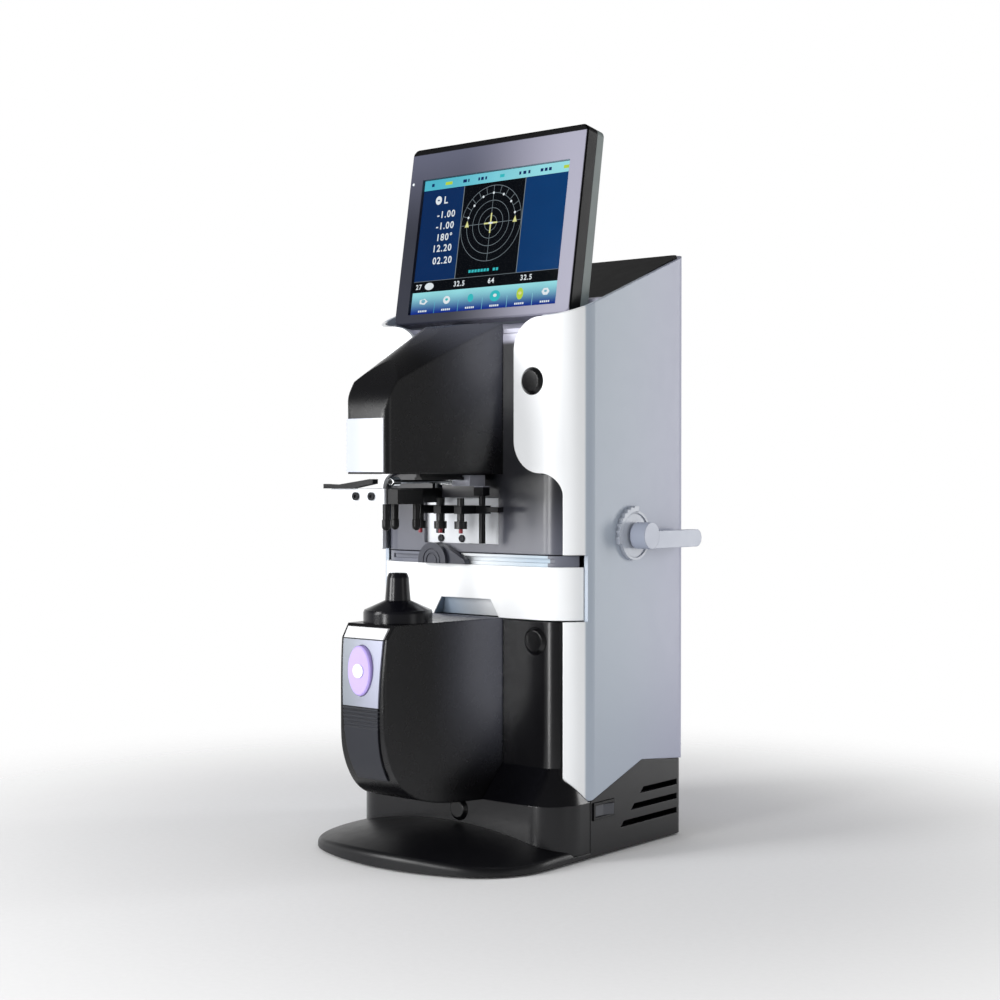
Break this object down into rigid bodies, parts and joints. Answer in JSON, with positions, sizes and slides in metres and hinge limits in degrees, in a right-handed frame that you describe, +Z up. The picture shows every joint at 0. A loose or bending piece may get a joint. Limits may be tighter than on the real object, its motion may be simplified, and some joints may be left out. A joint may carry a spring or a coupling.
{
  "type": "auto lensmeter",
  "caption": "Desktop auto lensmeter with a tilting touch display, lens table with side lever, spring-loaded marking pens and a lens retainer over the measuring nosepiece.",
  "frame": {"origin": "middle of the whole part's box, on the plane that the rubber feet stand on", "axes": "+Z up, -Y towards the user, +X towards the side with the table lever"},
  "size_m": [0.2, 0.2406, 0.4891],
  "materials": {
    "cover_white": "white gloss moulding",
    "cover_black": "black gloss moulding",
    "base_black": "black satin moulding",
    "matt_black": "black fine-textured moulding",
    "rubber_black": "soft black rubber",
    "chassis_steel": "zinc-plated sheet steel",
    "pale_plate": "satin pale plate",
    "screw_steel": "screw steel",
    "silver_insert": "silver paint",
    "lamp_housing": "anodised barrel",
    "optical_glass": "clear optical glass",
    "grey_plastic": "grey moulding",
    "supply_case": "folded aluminium case",
    "board_green": "circuit board",
    "guide_white": "acetal",
    "polished_rod": "ground steel rod",
    "display_black": "blue-black gloss moulding",
    "screen_glass": "touch glass",
    "lcd_screen": "lit screen",
    "button_lilac": "lilac moulding with a white centre",
    "gear_brass": "cut brass",
    "table_white": "white gloss moulding",
    "table_metal": "milled aluminium",
    "rail_grey": "grey moulding",
    "slider_grey": "dark grey moulding",
    "pen_black": "black pen body with a red felt tip",
    "rocker_black": "black rocker"
  },
  "bodies": {
    "body": {"base_apron": "base_black", "base_housing": "base_black", "lower_front_cover": "cover_black", "rubber_feet": "rubber_black", "chassis_frame": "chassis_steel", "right_side_cover": "cover_white", "left_side_cover": "cover_white", "rear_cover": "cover_white", "top_cover": "cover_black", "upper_front_cover": "cover_black", "bay_plate": "pale_plate", "cover_screws": "screw_steel", "head_cover": "cover_black", "head_front_insert": "silver_insert", "head_underplate": "matt_black", "head_arm": "chassis_steel", "nose_arm": "chassis_steel", "light_source": "lamp_housing", "upper_window": "optical_glass", "lower_nose_cover": "cover_black", "nose_front_insert": "silver_insert", "nose_lower_panel": "matt_black", "sensor_module": "lamp_housing", "measure_switch": "matt_black", "nosepiece_flange": "matt_black", "nosepiece": "matt_black", "screw_plugs": "rubber_black", "lever_dial": "grey_plastic", "power_inlet": "matt_black", "power_supply": "supply_case", "main_board": "board_green", "table_guides": "guide_white", "shaft_bearing": "guide_white", "retainer_post": "polished_rod", "hinge_pins": "polished_rod", "switch_housing": "matt_black"},
    "display": {"display_frame": "display_black", "display_rear_shell": "display_black", "touch_glass": "screen_glass", "lcd_panel": "lcd_screen"},
    "button": {"measure_button": "button_lilac"},
    "lever": {"side_lever": "grey_plastic", "lever_shaft": "polished_rod", "sector_gear": "gear_brass"},
    "table": {"lens_table": "table_white", "table_carriage": "table_metal", "table_guide_rods": "polished_rod", "table_rack": "gear_brass", "pd_rail": "rail_grey"},
    "slider": {"pd_slider": "slider_grey"},
    "retainer": {"retainer_arm": "matt_black", "retainer_plate": "pale_plate", "retainer_fork": "matt_black", "retainer_pins": "rubber_black", "retainer_lever": "matt_black"},
    "marker": {"marking_carriage": "pale_plate", "marking_pull_rod": "polished_rod"},
    "pen_head": {"pen_holder": "matt_black", "marking_pens": "pen_black"},
    "rocker": {"power_rocker": "rocker_black"}
  },
  "joints": [
    {"name": "display_tilt", "type": "hinge", "parent": "body", "child": "display", "pos_m": [-0.008, 0.03109, 0.38186], "axis": [-1, 0, 0], "range_deg": [0, 42]},
    {"name": "table_slide", "type": "slide", "parent": "body", "child": "table", "axis": [0, -1, 0], "range_m": [0, 0.0398]},
    {"name": "side_lever_turn", "type": "hinge", "parent": "body", "child": "lever", "pos_m": [0.084, 0.0524, 0.213], "axis": [-1, 0, 0], "range_deg": [0, 80.5]},
    {"name": "pd_slide", "type": "slide", "parent": "table", "child": "slider", "axis": [1, 0, 0], "range_m": [-0.035, 0.085]},
    {"name": "measure_press", "type": "slide", "parent": "body", "child": "button", "axis": [0, 1, 0], "range_m": [0, 0.0018], "stiffness_N_per_m": 600, "springref_m": -0.002},
    {"name": "retainer_drop", "type": "slide", "parent": "body", "child": "retainer", "axis": [0, 0, -1], "range_m": [0, 0.02]},
    {"name": "marker_slide", "type": "slide", "parent": "body", "child": "marker", "axis": [0, -1, 0], "range_m": [0, 0.042]},
    {"name": "pen_press", "type": "slide", "parent": "marker", "child": "pen_head", "axis": [0, 0, -1], "range_m": [0, 0.02], "stiffness_N_per_m": 60, "springref_m": -0.02},
    {"name": "power_rock", "type": "hinge", "parent": "body", "child": "rocker", "pos_m": [0.0825, 0.0194, 0.031], "axis": [0, 0, 1], "range_deg": [0, 15]}
  ],
  "couplings": [
    {"joint": "side_lever_turn", "follows": "table_slide", "rad_per_m": 35.088}
  ]
}
